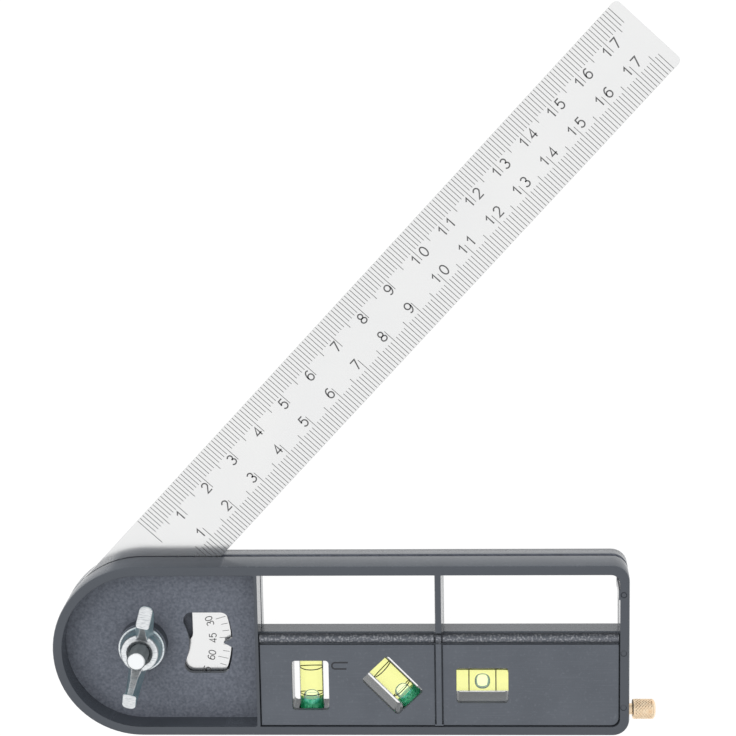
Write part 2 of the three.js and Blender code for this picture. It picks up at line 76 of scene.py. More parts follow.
# The two halves of the stock are moulded in dark grey plastic with a fine eroded surface. The
# rim is darkened by hands, and the sunk faces keep a pale bloom. The walls are polished, but for
# those beside the nut, where fingers hold the head.
class Socket:
    """A value in a node tree. Arithmetic on it adds the Math nodes that work it out."""

    def __init__(self, tree, socket):
        self.tree = tree
        self.socket = socket

    def __add__(self, other):
        return self.tree.maths("ADD", self, other)

    def __radd__(self, other):
        return self.tree.maths("ADD", other, self)

    def __sub__(self, other):
        return self.tree.maths("SUBTRACT", self, other)

    def __rsub__(self, other):
        return self.tree.maths("SUBTRACT", other, self)

    def __mul__(self, other):
        return self.tree.maths("MULTIPLY", self, other)

    def __rmul__(self, other):
        return self.tree.maths("MULTIPLY", other, self)

    def __abs__(self):
        return self.tree.maths("ABSOLUTE", self)

    def rise(self, start, end):
        """0 at the start value and 1 at the end value, straight between them and held beyond."""
        limits = {"Value": self, "From Min": start, "From Max": end}
        return self.tree.add("ShaderNodeMapRange", {}, limits, "Result")


class NodeTree:
    """The nodes of a material or of the world, with one method that adds any kind of node."""

    def __init__(self, tree):
        self.nodes = tree.nodes
        self.links = tree.links

    def feed(self, target, value):
        """Links a socket to the target, or else sets the target's own value."""
        if isinstance(value, Socket):
            self.links.new(value.socket, target)
        elif target.type == "RGBA":
            target.default_value = (*value, 1.0)
        else:
            target.default_value = value

    def add(self, kind, settings, inputs, output=0):
        node = self.nodes.new(kind)
        for setting, value in settings.items():
            setattr(node, setting, value)
        for name, value in inputs.items():
            self.feed(node.inputs[name], value)
        return Socket(self, node.outputs[output])

    def maths(self, operation, *values):
        return self.add("ShaderNodeMath", {"operation": operation}, dict(enumerate(values)))

    def part(self, vector, axis):
        """The X, Y or Z part of a vector."""
        return self.add("ShaderNodeSeparateXYZ", {}, {"Vector": vector}, axis)


MIX_FACTOR, MIX_FIRST_COLOR, MIX_SECOND_COLOR = 0, 6, 7
MIX_COLOR_RESULT = 2
BEVEL_SAMPLES = 4


class Finish(NodeTree):
    """A material with one Principled shader. It remembers what each of its sockets was set to."""

    def __init__(self, name, color, roughness, metallic=0.0, others=None):
        self.material = bpy.data.materials.new(name)
        self.material.use_nodes = True
        super().__init__(self.material.node_tree)
        self.shader = self.nodes["Principled BSDF"]
        self.values = {}
        self.set("Base Color", color)
        self.set("Roughness", roughness)
        self.set("Metallic", metallic)
        for name, value in (others or {}).items():
            self.set(name, value)
        self.place = self.add("ShaderNodeTexCoord", {}, {}, "Object")

    def set(self, name, value):
        self.values[name] = value
        self.feed(self.shader.inputs[name], value)

    def grain(self, size, detail=3.0, stretch=(1.0, 1.0, 1.0), turn=0.0):
        """Noise whose features are about that size in metres, about 0.5 in the middle."""
        place = self.add("ShaderNodeMapping", {}, {
            "Vector": self.place,
            "Rotation": (0.0, 0.0, turn),
            "Scale": tuple(share / size for share in stretch),
        })
        inputs = {"Vector": place, "Scale": 1.0, "Detail": detail}
        return self.add("ShaderNodeTexNoise", {}, inputs, "Fac")

    def flatness(self):
        """1 where the surface faces straight to the front or back, 0 on upright walls."""
        return abs(self.part(self.add("ShaderNodeNewGeometry", {}, {}, "Normal"), "Z"))

    def blend(self, share, first, second):
        """One colour turning into another as the share goes from 0 to 1."""
        inputs = {MIX_FACTOR: share, MIX_FIRST_COLOR: first, MIX_SECOND_COLOR: second}
        return self.add("ShaderNodeMix", {"data_type": "RGBA"}, inputs, MIX_COLOR_RESULT)

    def relief(self, height, depth, strength, edge_radius=None):
        """Raises the surface by a height from 0 to 1, times a depth in metres.

        With an edge radius, the edges look rounded too.
        """
        inputs = {"Height": height, "Distance": depth, "Strength": strength}
        if edge_radius:
            rounding = {"Radius": edge_radius}
            inputs["Normal"] = self.add("ShaderNodeBevel", {"samples": BEVEL_SAMPLES}, rounding, "Normal")
        self.set("Normal", self.add("ShaderNodeBump", {}, inputs, "Normal"))


SMOOTH_WITHIN_DEGREES = 32
WELD_DISTANCE = 0.004 * MM


def split_edges(piece, degrees):
    """Breaks a piece's smooth shading at the edges that turn by more than that."""
    split = piece.modifiers.new("edges", "EDGE_SPLIT")
    split.split_angle = math.radians(degrees)


def finish_node(name, finish):
    """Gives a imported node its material, and shades it smooth except across its sharp edges."""
    piece = frame["nodes"][name]
    piece.data.materials.clear()
    piece.data.materials.append(finish.material)
    if "custom_normal" in piece.data.attributes:
        piece.data.attributes.remove(piece.data.attributes["custom_normal"])
    piece.data.shade_smooth()
    weld = piece.modifiers.new("weld", "WELD")
    weld.merge_threshold = WELD_DISTANCE
    split_edges(piece, SMOOTH_WITHIN_DEGREES)


STOCK_COLOR = (0.066, 0.074, 0.088)
STOCK_WORN_COLOR = (0.105, 0.114, 0.132)
STOCK_DULL_COLOR = (0.056, 0.062, 0.074)
STOCK_HANDLED_COLOR = (0.058, 0.062, 0.071)
STOCK_BLOOM_COLOR = (0.150, 0.161, 0.193)
STOCK_BLOOM_DARK_COLOR = (0.082, 0.089, 0.110)
STOCK_ROUGHNESS = 0.44
SCUFF_ROUGHNESS = 0.16
POLISH_SMOOTHNESS = 0.38
STOCK_EDGE_RADIUS = 0.22 * MM
PLASTIC_SHEEN = (0.80, 0.90, 1.0)
ERODED_GRAIN = 0.22 * MM
ERODED_DEPTH = 0.020 * MM
ERODED_STRENGTH = 0.9
SPECK_RANGE = (0.55, 0.80)
SPECK_SHARE = 0.5
FLOW_GRAIN = 9 * MM
FLOW_RANGE = (0.273, 0.727)
SCUFF_GRAIN = 0.7 * MM
SCUFF_RANGE = (0.58, 0.78)
SCUFF_SHARE = 0.7
BLOOM_GRAIN = 0.6 * MM
BLOOM_RANGE = (0.308, 0.692)
BLOOM_SHARE = 0.9
HANDLED_SHARE = 0.85
RIM_LEVEL = 15.8 * MM
RECESS_LEVEL = 12.5 * MM
SHARP_CHANGE = 0.05 * MM
GRIPPED_LENGTH = (-57 * MM, -30.3 * MM)
GRIP_FADES = (3.3 * MM, 1.0 * MM)


def moulded_plastic(name, color, worn, dull, edge_radius):
    """Plastic with duller clouds, worn scuffs and pale specks, over edges that look rounded."""
    finish = Finish(name, color, STOCK_ROUGHNESS, others={"Specular Tint": PLASTIC_SHEEN})
    eroded = finish.grain(ERODED_GRAIN, detail=4.0)
    flow = finish.grain(FLOW_GRAIN, detail=4.0)
    scuffs = finish.grain(SCUFF_GRAIN, detail=5.0)
    body = finish.blend(flow.rise(*FLOW_RANGE), dull, color)
    scuffed = finish.blend(scuffs.rise(*SCUFF_RANGE) * SCUFF_SHARE, body, worn)
    specked = finish.blend(eroded.rise(*SPECK_RANGE) * SPECK_SHARE, scuffed, worn)
    finish.set("Base Color", specked)
    finish.relief(eroded, ERODED_DEPTH, ERODED_STRENGTH, edge_radius)
    return finish


stock_plastic = moulded_plastic("stock_plastic", STOCK_COLOR, STOCK_WORN_COLOR, STOCK_DULL_COLOR,
                                STOCK_EDGE_RADIUS)
along = stock_plastic.part(stock_plastic.place, "X")
height = stock_plastic.part(stock_plastic.place, "Z")
flat = stock_plastic.flatness()
before_grip = along.rise(GRIPPED_LENGTH[0], GRIPPED_LENGTH[0] - GRIP_FADES[0])
past_grip = along.rise(GRIPPED_LENGTH[1], GRIPPED_LENGTH[1] + GRIP_FADES[1])
polish = (past_grip + before_grip) * (1.0 - flat)
scuffing = stock_plastic.grain(SCUFF_GRAIN, detail=5.0)
stock_plastic.set("Roughness",
                  STOCK_ROUGHNESS + scuffing * SCUFF_ROUGHNESS - polish * POLISH_SMOOTHNESS)
on_rim = height.rise(RIM_LEVEL, RIM_LEVEL + SHARP_CHANGE)
handled = stock_plastic.blend(on_rim * HANDLED_SHARE, stock_plastic.values["Base Color"],
                              STOCK_HANDLED_COLOR)
speckle = stock_plastic.grain(BLOOM_GRAIN).rise(*BLOOM_RANGE)
bloom = stock_plastic.blend(speckle, STOCK_BLOOM_DARK_COLOR, STOCK_BLOOM_COLOR)
in_recess = height.rise(RECESS_LEVEL, RECESS_LEVEL - SHARP_CHANGE) * flat
stock_plastic.set("Base Color", stock_plastic.blend(in_recess * BLOOM_SHARE, handled, bloom))
for node in ("front_shell", "rear_shell", "assembly_pin_1", "assembly_pin_2"):
    finish_node(node, stock_plastic)


# The cover snaps into a pocket of the front half over the vials. Its panels are rubbed along
# their length. The bead along its top edge has painted light on its crest, painted shade on its
# flanks, and pale specks on the crest that are painted glints off its coarse mould grain.
COVER_COLOR = (0.082, 0.089, 0.104)
COVER_WORN_COLOR = (0.116, 0.126, 0.144)
COVER_DULL_COLOR = (0.070, 0.076, 0.089)
COVER_ROUGHNESS = 0.5
COVER_EDGE_RADIUS = 0.16 * MM
RUB_LENGTH = 9 * MM
RUB_STRETCH = (1.0, 30.0, 30.0)
RUB_RANGE = (0.533, 0.867)
RUB_SHARE = 0.45
BEAD_MIDDLE = 3.4 * MM
BEAD_HALF_WIDTH = 1.45 * MM
BEAD_EDGE = 0.12 * MM
BEAD_GRAIN = 0.5 * MM
GLINT_SPECK_RANGE = (0.5, 0.643)
BEAD_ROUGHNESS = 0.3
BEAD_LIT_CREST_COLOR = (0.104, 0.110, 0.126)
BEAD_SHADED_FLANK_COLOR = (0.009, 0.010, 0.012)
BEAD_GLINT_COLOR = (0.29, 0.295, 0.31)

cover_plastic = moulded_plastic("cover_plastic", COVER_COLOR, COVER_WORN_COLOR, COVER_DULL_COLOR,
                                COVER_EDGE_RADIUS)
rubbing = cover_plastic.grain(RUB_LENGTH, stretch=RUB_STRETCH).rise(*RUB_RANGE)
rubbed = cover_plastic.blend(rubbing * RUB_SHARE, cover_plastic.values["Base Color"], COVER_WORN_COLOR)
off_crest = abs(cover_plastic.part(cover_plastic.place, "Y") - BEAD_MIDDLE)
crest = off_crest.rise(BEAD_HALF_WIDTH, 0.0)
on_bead = off_crest.rise(BEAD_HALF_WIDTH, BEAD_HALF_WIDTH - BEAD_EDGE)
# Painted light and shade: the bead is coloured lighter along its crest and near black on its flanks.
bead = cover_plastic.blend(crest, BEAD_SHADED_FLANK_COLOR, BEAD_LIT_CREST_COLOR)
# Painted glints: pale specks off the eroded grain, only on the lit crest.
glint_specks = cover_plastic.grain(BEAD_GRAIN, detail=2.0).rise(*GLINT_SPECK_RANGE)
bead_with_glints = cover_plastic.blend(glint_specks * crest, bead, BEAD_GLINT_COLOR)
cover_plastic.set("Base Color", cover_plastic.blend(on_bead, rubbed, bead_with_glints))
cover_plastic.set("Roughness", COVER_ROUGHNESS + on_bead * BEAD_ROUGHNESS)
finish_node("vial_cover", cover_plastic)


# A small mark, a U lying on its side, is pressed into the cover beside the plumb vial. It is drawn
# as a flat ribbon just above the face, near black as painted shade in the pressed groove.
COVER_FACE = 15.6 * MM
SUNK_SHADE_COLOR = (0.010, 0.011, 0.014)
SUNK_SHADE_PALE_COLOR = (0.028, 0.031, 0.038)
SUNK_ROUGHNESS = 0.6
SUNK_GRAIN = 0.4 * MM
MARK_PLACE = (-1.19 * MM, -3.88 * MM)
MARK_RADIUS = 0.85 * MM
MARK_BARS = (3.3 * MM, 2.9 * MM)
MARK_STROKE = 0.42 * MM
MARK_LIFT = 0.015 * MM
ARC_STEPS = 20
SHARPEST_MITRE = 0.5


def add_ribbon(mesh, points, width):
    """A flat ribbon along the points, mitred where they turn."""
    sides = []
    for index, point in enumerate(points):
        before = points[max(index - 1, 0)]
        after = points[min(index + 1, len(points) - 1)]
        into = (point - before).normalized() if before != point else (after - point).normalized()
        out = (after - point).normalized() if after != point else into
        across = Vector((-(into + out).y, (into + out).x, 0)).normalized()
        reach = width / 2 / max(across.dot(Vector((-out.y, out.x, 0))), SHARPEST_MITRE)
        sides.append([mesh.verts.new(point + across * reach * side) for side in (1, -1)])
    for (left, right), (next_left, next_right) in zip(sides, sides[1:]):
        mesh.faces.new((left, right, next_right, next_left))


def arc_points(x, y, reach_x, reach_y, first, last, level=0.0):
    """Points along an arc about a middle, from its first to its last angle in degrees."""
    turns = [math.radians(first + (last - first) * step / ARC_STEPS) for step in range(ARC_STEPS + 1)]
    return [Vector((x + math.cos(turn) * reach_x, y + math.sin(turn) * reach_y, level)) for turn in turns]


def piece_from(mesh, name, finish, body, place=None, smooth=False):
    """A new object from a bmesh, moved to its place, that rides on a body."""
    data = bpy.data.meshes.new(name)
    if place is not None:
        mesh.transform(place)
    mesh.normal_update()
    mesh.to_mesh(data)
    mesh.free()
    data.materials.append(finish.material)
    if smooth:
        data.shade_smooth()
    piece = bpy.data.objects.new(name, data)
    bpy.context.scene.collection.objects.link(piece)
    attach(piece, body)
    return piece


# Painted shade: a near-black finish for the shade inside the pressed mark.
sunk_mark_shade = Finish("sunk_mark_shade", SUNK_SHADE_COLOR, SUNK_ROUGHNESS)
sunk_shade_tone = sunk_mark_shade.grain(SUNK_GRAIN)
sunk_mark_shade.set("Base Color", sunk_mark_shade.blend(sunk_shade_tone, SUNK_SHADE_COLOR, SUNK_SHADE_PALE_COLOR))
cover_mark = bmesh.new()
bend = arc_points(*MARK_PLACE, MARK_RADIUS, MARK_RADIUS, 90, 270, COVER_FACE + MARK_LIFT)
first_end, last_end = [
    corner + Vector((bar, 0, 0)) for corner, bar in zip((bend[0], bend[-1]), MARK_BARS)]
add_ribbon(cover_mark, [first_end, *bend, last_end], MARK_STROKE)
piece_from(cover_mark, "cover_mark", sunk_mark_shade, "stock")


# The rule is spring steel, ground along its length and left satin. It turns on the pivot, and
# its round root carries the protractor under the window in the stock's head.
pivot_joint = frame["joints"][0]
PIVOT = Vector(pivot_joint["pos_m"])
RULE_ANGLE = math.radians(-pivot_joint["range_deg"][0])
RULE_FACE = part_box("blade")[1].z
RULE_COLOR = (0.90, 0.90, 0.89)
RULE_DARK_COLOR = (0.83, 0.835, 0.84)
RULE_ROUGHNESS = 0.13
GRINDING_ROUGHNESS = 0.1
GRINDING_LENGTH = 14 * MM
GRINDING_STRETCH = (1.0, 160.0, 160.0)
GRINDING_DEPTH = 0.004 * MM
GRINDING_STRENGTH = 0.35
GRINDING_WEIGHT = 0.5
RULE_EDGE_RADIUS = 0.12 * MM
CLOUD_GRAIN = 22 * MM
CLOUD_WEIGHT = 0.9
PALE_RANGE = (0.35, 1.35)

rule_steel = Finish("rule_steel", RULE_COLOR, RULE_ROUGHNESS, 1.0)
ground = rule_steel.grain(GRINDING_LENGTH, detail=2.0, stretch=GRINDING_STRETCH, turn=-RULE_ANGLE)
clouds = rule_steel.grain(CLOUD_GRAIN)
pale = (ground * GRINDING_WEIGHT + clouds * CLOUD_WEIGHT).rise(*PALE_RANGE)
rule_steel.set("Base Color", rule_steel.blend(pale, RULE_DARK_COLOR, RULE_COLOR))
rule_steel.set("Roughness", RULE_ROUGHNESS + ground * GRINDING_ROUGHNESS)
rule_steel.relief(ground, GRINDING_DEPTH, GRINDING_STRENGTH, RULE_EDGE_RADIUS)
finish_node("blade", rule_steel)


# The divisions and figures are etched into the rule and blackened. Millimetres run along both
# long edges from a zero beside the stock, and the figures for centimetres stand in two rows.
SCALE_ZERO = 23.1 * MM
SCALE_DIVISIONS = 177
RULE_EDGES = (0.4 * MM, 22.6 * MM)
TICK_WIDTH = 0.16 * MM
TICK_START = 0.12 * MM
TICK_LENGTHS = {10: 8.5 * MM, 5: 6.7 * MM, 1: 5.4 * MM}
FIGURE_HEIGHT = 2.65 * MM
FIGURE_WIDTH_SHARE = 0.62
STROKE_WIDTH = 0.36 * MM
FIGURE_ROWS = (15.25 * MM, 8.41 * MM)
ONE_FIGURE_SHIFT = -1.28 * MM
TWO_FIGURES_SHIFT = 0.4 * MM
TWO_FIGURES_APART = 3.0 * MM
ETCHED_COLOR = (0.035, 0.035, 0.037)
ETCHED_WORN_COLOR = (0.13, 0.13, 0.132)
ETCHED_ROUGHNESS = 0.5
ETCHED_GRAIN = 0.5 * MM

# Each figure is drawn as strokes in a box one high and one wide: an arc gives its middle, its two
# radii and its first and last angles, and a line its corners.
FIGURE_STROKE_SHARES = {
    "0": [("arc", 0.5, 0.5, 0.48, 0.5, 0, 360)],
    "1": [("line", (0.12, 0.72), (0.56, 1.0), (0.56, 0.0))],
    "2": [("arc", 0.5, 0.71, 0.44, 0.29, 165, -35), ("line", (0.86, 0.545), (0.04, 0.0), (0.98, 0.0))],
    "3": [("arc", 0.47, 0.745, 0.4, 0.255, 150, -90), ("arc", 0.47, 0.265, 0.47, 0.265, 90, -155)],
    "4": [("line", (0.74, 0.0), (0.74, 1.0), (0.02, 0.28), (1.0, 0.28))],
    "5": [("line", (0.88, 1.0), (0.2, 1.0), (0.1, 0.5)), ("arc", 0.47, 0.33, 0.47, 0.33, 148, -150)],
    "6": [("arc", 0.5, 0.31, 0.46, 0.31, 0, 360), ("arc", 0.6, 0.42, 0.56, 0.58, 60, 190)],
    "7": [("line", (0.02, 1.0), (0.96, 1.0), (0.36, 0.0))],
    "8": [("arc", 0.5, 0.75, 0.38, 0.25, 0, 360), ("arc", 0.5, 0.25, 0.47, 0.25, 0, 360)],
    "9": [("arc", 0.5, 0.69, 0.46, 0.31, 0, 360), ("arc", 0.4, 0.58, 0.56, 0.58, 10, -120)],
}


def stroke_points(kind, *sizes):
    return arc_points(*sizes) if kind == "arc" else [Vector((*corner, 0)) for corner in sizes]


def add_figures(mesh, text, middle, height, spacing, width, turn=0.0):
    """Figures side by side round a middle place, all turned about it."""
    across = height * FIGURE_WIDTH_SHARE
    for index, figure in enumerate(text):
        start = (index - (len(text) - 1) / 2) * spacing - across / 2
        for stroke in FIGURE_STROKE_SHARES[figure]:
            points = [Vector((start + point.x * across, (point.y - 0.5) * height, 0))
                      for point in stroke_points(*stroke)]
            turned = [middle + Matrix.Rotation(turn, 3, "Z") @ point for point in points]
            add_ribbon(mesh, turned, width)


etching = Finish("etched_black", ETCHED_COLOR, ETCHED_ROUGHNESS)
etching.set("Base Color", etching.blend(etching.grain(ETCHED_GRAIN), ETCHED_COLOR, ETCHED_WORN_COLOR))
on_rule = (Matrix.Translation((PIVOT.x, PIVOT.y, RULE_FACE + MARK_LIFT))
           @ Matrix.Rotation(RULE_ANGLE, 4, "Z"))

divisions = bmesh.new()
for millimetre in range(SCALE_DIVISIONS + 1):
    x = SCALE_ZERO + millimetre * MM
    length = next(TICK_LENGTHS[step] for step in TICK_LENGTHS if millimetre % step == 0)
    for edge, inward in zip(RULE_EDGES, (1, -1)):
        start = Vector((x, edge + inward * TICK_START, 0))
        end = Vector((x, edge + inward * length, 0))
        add_ribbon(divisions, [start, end], TICK_WIDTH)
piece_from(divisions, "rule_divisions", etching, "rule", on_rule)

figures = bmesh.new()
for centimetre in range(1, SCALE_DIVISIONS // 10 + 1):
    text = str(centimetre)
    shift = ONE_FIGURE_SHIFT if len(text) == 1 else TWO_FIGURES_SHIFT
    for row in FIGURE_ROWS:
        middle = Vector((SCALE_ZERO + centimetre * 10 * MM + shift, row, 0))
        add_figures(figures, text, middle, FIGURE_HEIGHT, TWO_FIGURES_APART, STROKE_WIDTH)
piece_from(figures, "rule_figures", etching, "rule", on_rule)


# The protractor is etched on the rule's round root, every five degrees with longer marks at
# fifteens. Its figures stand with their tops towards the pivot and show through the window.
PROTRACTOR_OUTER = 22.2 * MM
PROTRACTOR_TICK = 1.7 * MM
PROTRACTOR_LONG_TICK = 2.7 * MM
PROTRACTOR_TICK_WIDTH = 0.13 * MM
PROTRACTOR_STEP_DEGREES = 5
PROTRACTOR_LONG_STEP_DEGREES = 15
PROTRACTOR_FIGURES = 17.8 * MM
PROTRACTOR_FIGURE_HEIGHT = 1.8 * MM
PROTRACTOR_FIGURES_APART = 1.36 * MM
PROTRACTOR_STROKE = 0.24 * MM

protractor = bmesh.new()
for degrees in range(PROTRACTOR_STEP_DEGREES, 180, PROTRACTOR_STEP_DEGREES):
    turn = math.radians(-degrees)
    ray = Vector((math.cos(turn), math.sin(turn), 0))
    long_tick = degrees % PROTRACTOR_LONG_STEP_DEGREES == 0
    inner = PROTRACTOR_OUTER - (PROTRACTOR_LONG_TICK if long_tick else PROTRACTOR_TICK)
    add_ribbon(protractor, [ray * inner, ray * PROTRACTOR_OUTER], PROTRACTOR_TICK_WIDTH)
    if long_tick:
        add_figures(protractor, str(degrees), ray * PROTRACTOR_FIGURES, PROTRACTOR_FIGURE_HEIGHT,
                    PROTRACTOR_FIGURES_APART, PROTRACTOR_STROKE, turn + math.pi / 2)
piece_from(protractor, "protractor_marks", etching, "rule", on_rule)


# The carriage bolt comes up through the stock from behind and is held by its square neck. It is
# bright zinc-plated steel with a rolled thread, which is painted dark all over as shade, but for its end.
BOLT_RADIUS = 2.5 * MM
BOLT_CHAMFER = 0.55 * MM
CHAMFER_SHARE = 0.9
HEAD_HEIGHT = 3.2 * MM
HEAD_RING_SHARES = ((0.0, 0.0), (0.35, 0.015), (0.62, 0.09), (0.82, 0.26), (0.94, 0.52), (0.99, 0.75),
                    (1.0, 0.9), (1.0, 1.0))
HEAD_STEPS = 48
HEAD_LEAST_RADIUS = 0.01 * MM
HEAD_EDGE_DEGREES = 38
NECK_START_SHARE = 0.95
NECK_TOP = 5.1 * MM
THREAD_OVERLAP = 0.5 * MM
THREAD_PITCH = 0.8 * MM
THREAD_DEPTH = 0.36 * MM
THREAD_FLANK_SHARES = (0.125, 0.375)
THREAD_STEPS_IN_TURN = 32
THREAD_STEPS_IN_PITCH = 8
THREAD_UNSHADED_END = 0.3 * MM
THREAD_EDGE_DEGREES = 30
THREAD_METALLIC = 0.9

ZINC_COLOR = (0.93, 0.955, 0.97)
ZINC_GREY_COLOR = (0.60, 0.63, 0.66)
NUT_TINT_AND_SHADE_COLOR = (0.38, 0.58, 0.62)
BOLT_TINT_AND_SHADE_COLOR = (0.40, 0.46, 0.48)
THREAD_SHADE_COLOR = (0.15, 0.17, 0.18)
ZINC_ROUGHNESS = 0.32
ZINC_SKIN_ROUGHNESS = 0.24
ZINC_SKIN_GRAIN = 0.35 * MM
ZINC_SKIN_DEPTH = 0.03 * MM
ZINC_SKIN_STRENGTH = 0.5
ZINC_TINT_GRAIN = 2.4 * MM
TINT_WEIGHT = 0.9
SLOPE_SHADE_WEIGHT = 1.7
TINT_AND_SHADE_RANGE = (1.05, 2.05)
DRAWN_GRAIN = 1.6 * MM
DRAWN_STRETCH = (1.0, 7.0, 7.0)
DRAWN_RANGE = (0.45, 0.70)
NUT_TURN_DEGREES = 78


def zinc_plate(name, tint_and_shade_color):
    """Zinc plate that is bright where it faces the front. Its slopes and walls take the darker passivation
    tint as painted shade, and patches of the tint come out elsewhere too.
    """
    finish = Finish(name, ZINC_COLOR, ZINC_ROUGHNESS, 1.0)
    tint = finish.grain(ZINC_TINT_GRAIN, detail=2.0)
    skin = finish.grain(ZINC_SKIN_GRAIN, detail=4.0)
    drawn = finish.grain(DRAWN_GRAIN, stretch=DRAWN_STRETCH, turn=-math.radians(NUT_TURN_DEGREES))
    bright = finish.blend(drawn.rise(*DRAWN_RANGE), ZINC_COLOR, ZINC_GREY_COLOR)
    # Painted shade: surfaces that turn away from the front take the darker tinted colour.
    slopes = 1.0 - finish.flatness()
    tint_and_shade = (slopes * SLOPE_SHADE_WEIGHT + tint * TINT_WEIGHT).rise(*TINT_AND_SHADE_RANGE)
    finish.set("Base Color", finish.blend(tint_and_shade, bright, tint_and_shade_color))
    finish.set("Roughness", ZINC_ROUGHNESS + skin * ZINC_SKIN_ROUGHNESS)
    finish.relief(skin, ZINC_SKIN_DEPTH, ZINC_SKIN_STRENGTH)
    return finish


def circle(radius, level, steps):
    turns = [2 * math.pi * step / steps for step in range(steps)]
    return [Vector((math.cos(turn) * radius, math.sin(turn) * radius, level)) for turn in turns]


def add_rings(mesh, rings, endless=False):
    """Skins neighbouring rings of points. Each end gets a lid, unless the last ring meets the first."""
    rows = [[mesh.verts.new(point) for point in ring] for ring in rings]
    for row, following in zip(rows, rows[1:] + rows[:1] if endless else rows[1:]):
        for index in range(len(row)):
            after = (index + 1) % len(row)
            mesh.faces.new((row[index], row[after], following[after], following[index]))
    if not endless:
        mesh.faces.new(reversed(rows[0]))
        mesh.faces.new(rows[-1])


def thread_ring(level, low, high):
    """A ring of the thread: a ridge that climbs one pitch a turn, drawn in at the chamfered end."""
    ring = []
    flank_top, flank_foot = THREAD_FLANK_SHARES
    room = min(1.0, (high - level) / BOLT_CHAMFER)
    crest = BOLT_RADIUS - BOLT_CHAMFER * (1 - room) * CHAMFER_SHARE
    for step in range(THREAD_STEPS_IN_TURN):
        turn = 2 * math.pi * step / THREAD_STEPS_IN_TURN
        phase = ((level - low) / THREAD_PITCH - turn / (2 * math.pi)) % 1.0
        ridge = min(1.0, max(0.0, (flank_foot - abs(phase - 0.5)) / (flank_foot - flank_top)))
        radius = min(crest, BOLT_RADIUS - THREAD_DEPTH * (1 - ridge))
        ring.append(Vector((math.cos(turn) * radius, math.sin(turn) * radius, level)))
    return ring


bolt_low, bolt_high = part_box("carriage_bolt")
head_radius = (bolt_high.x - bolt_low.x) / 2
round_pivot = Matrix.Translation((PIVOT.x, PIVOT.y, 0))
bolt_zinc = zinc_plate("bolt_zinc", BOLT_TINT_AND_SHADE_COLOR)
bolt_head = bmesh.new()
add_rings(bolt_head, [
    circle(max(head_radius * reach, HEAD_LEAST_RADIUS), bolt_low.z + HEAD_HEIGHT * rise, HEAD_STEPS)
    for reach, rise in HEAD_RING_SHARES])
neck = [Vector((x * BOLT_RADIUS, y * BOLT_RADIUS, 0)) for x, y in ((1, 1), (-1, 1), (-1, -1), (1, -1))]
neck_levels = (bolt_low.z + HEAD_HEIGHT * NECK_START_SHARE, NECK_TOP)
add_rings(bolt_head, [[corner + Vector((0, 0, level)) for corner in neck] for level in neck_levels])
bolt_piece = piece_from(bolt_head, "bolt_head", bolt_zinc, "stock", round_pivot, smooth=True)
split_edges(bolt_piece, HEAD_EDGE_DEGREES)
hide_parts("carriage_bolt")

thread_zinc = zinc_plate("thread_zinc", THREAD_SHADE_COLOR)
unshaded_level = bolt_high.z - THREAD_UNSHADED_END
# Painted shade: the whole thread is coloured dark, all but its end.
unshaded_end = thread_zinc.part(thread_zinc.place, "Z").rise(unshaded_level, unshaded_level + SHARP_CHANGE)
thread_zinc.set("Base Color", thread_zinc.blend(unshaded_end, THREAD_SHADE_COLOR, ZINC_COLOR))
thread_zinc.set("Metallic", THREAD_METALLIC)
thread_low = NECK_TOP - THREAD_OVERLAP
thread_length = bolt_high.z - thread_low
thread_rows = round(thread_length / THREAD_PITCH * THREAD_STEPS_IN_PITCH)
thread = bmesh.new()
add_rings(thread, [thread_ring(thread_low + thread_length * row / thread_rows, thread_low, bolt_high.z)
                   for row in range(thread_rows + 1)])
thread_piece = piece_from(thread, "bolt_thread", thread_zinc, "stock", round_pivot, smooth=True)
split_edges(thread_piece, THREAD_EDGE_DEGREES)


# The wing nut is forged and zinc plated, so its hub, webs and pads run into each other without
# an edge. Here they are drawn apart, melted together and smoothed, then hammered a little.
NUT_VOXEL = 0.13 * MM
NUT_SMOOTHING_SHARE = 0.5
NUT_SMOOTHINGS = 6
NUT_HAMMER_GRAIN = 1.3 * MM
NUT_HAMMER_DEPTH = 0.025 * MM
NUT_HAMMER_LAYERS = 2
NUT_HAMMER_FADE = 1.0
NUT_HAMMER_FINER = 2.0
NUT_STEPS = 96
NUT_OUTLINE_MILLIMETRES = ((2.58, 0.0), (5.6, 0.0), (5.55, 0.45), (5.25, 1.2), (5.1, 2.1), (5.0, 3.3),
                           (4.75, 3.9), (4.5, 4.0), (3.35, 4.0), (2.58, 3.25))
PAD_FACE_PLACE = (11.49 * MM, 9.0 * MM)
PAD_LENGTH = 6.5 * MM
PAD_WIDTH = 3.6 * MM
PAD_DEPTH = 3.0 * MM
PAD_LEAN = math.radians(36)
PAD_OUTER_CORNER = 1.45 * MM
PAD_INNER_CORNER = 0.7 * MM
PAD_CORNER_STEPS = 8
PAD_ROUNDING = 0.45 * MM
PAD_ROUNDING_SHARES = (0.0, 0.25, 0.6, 1.0)
PAD_UNDERCUT_SHARE = 1.25
WEB_ROOT_LEVELS = (0.7 * MM, 4.0 * MM)
WEB_ROOT_REACH = 3.6 * MM
WEB_ROOT_FLARE = 0.8 * MM
WEB_STEPS = 14
WEB_TOP_HALF_WIDTH = 0.8 * MM
WEB_FOOT_HALF_WIDTH = 1.8 * MM
WEB_TOP_SAG = Vector((0.5 * MM, 0, -0.8 * MM))
WEB_FOOT_END_SHARES = (0.36, 0.7)
WEB_TOP_END_SHARES = (-0.44, 0.10)


def curve_point(start, turn, end, share):
    """A place on the curve that leaves the start towards the turn and comes from it to the end."""
    return start.lerp(turn, share).lerp(turn.lerp(end, share), share)


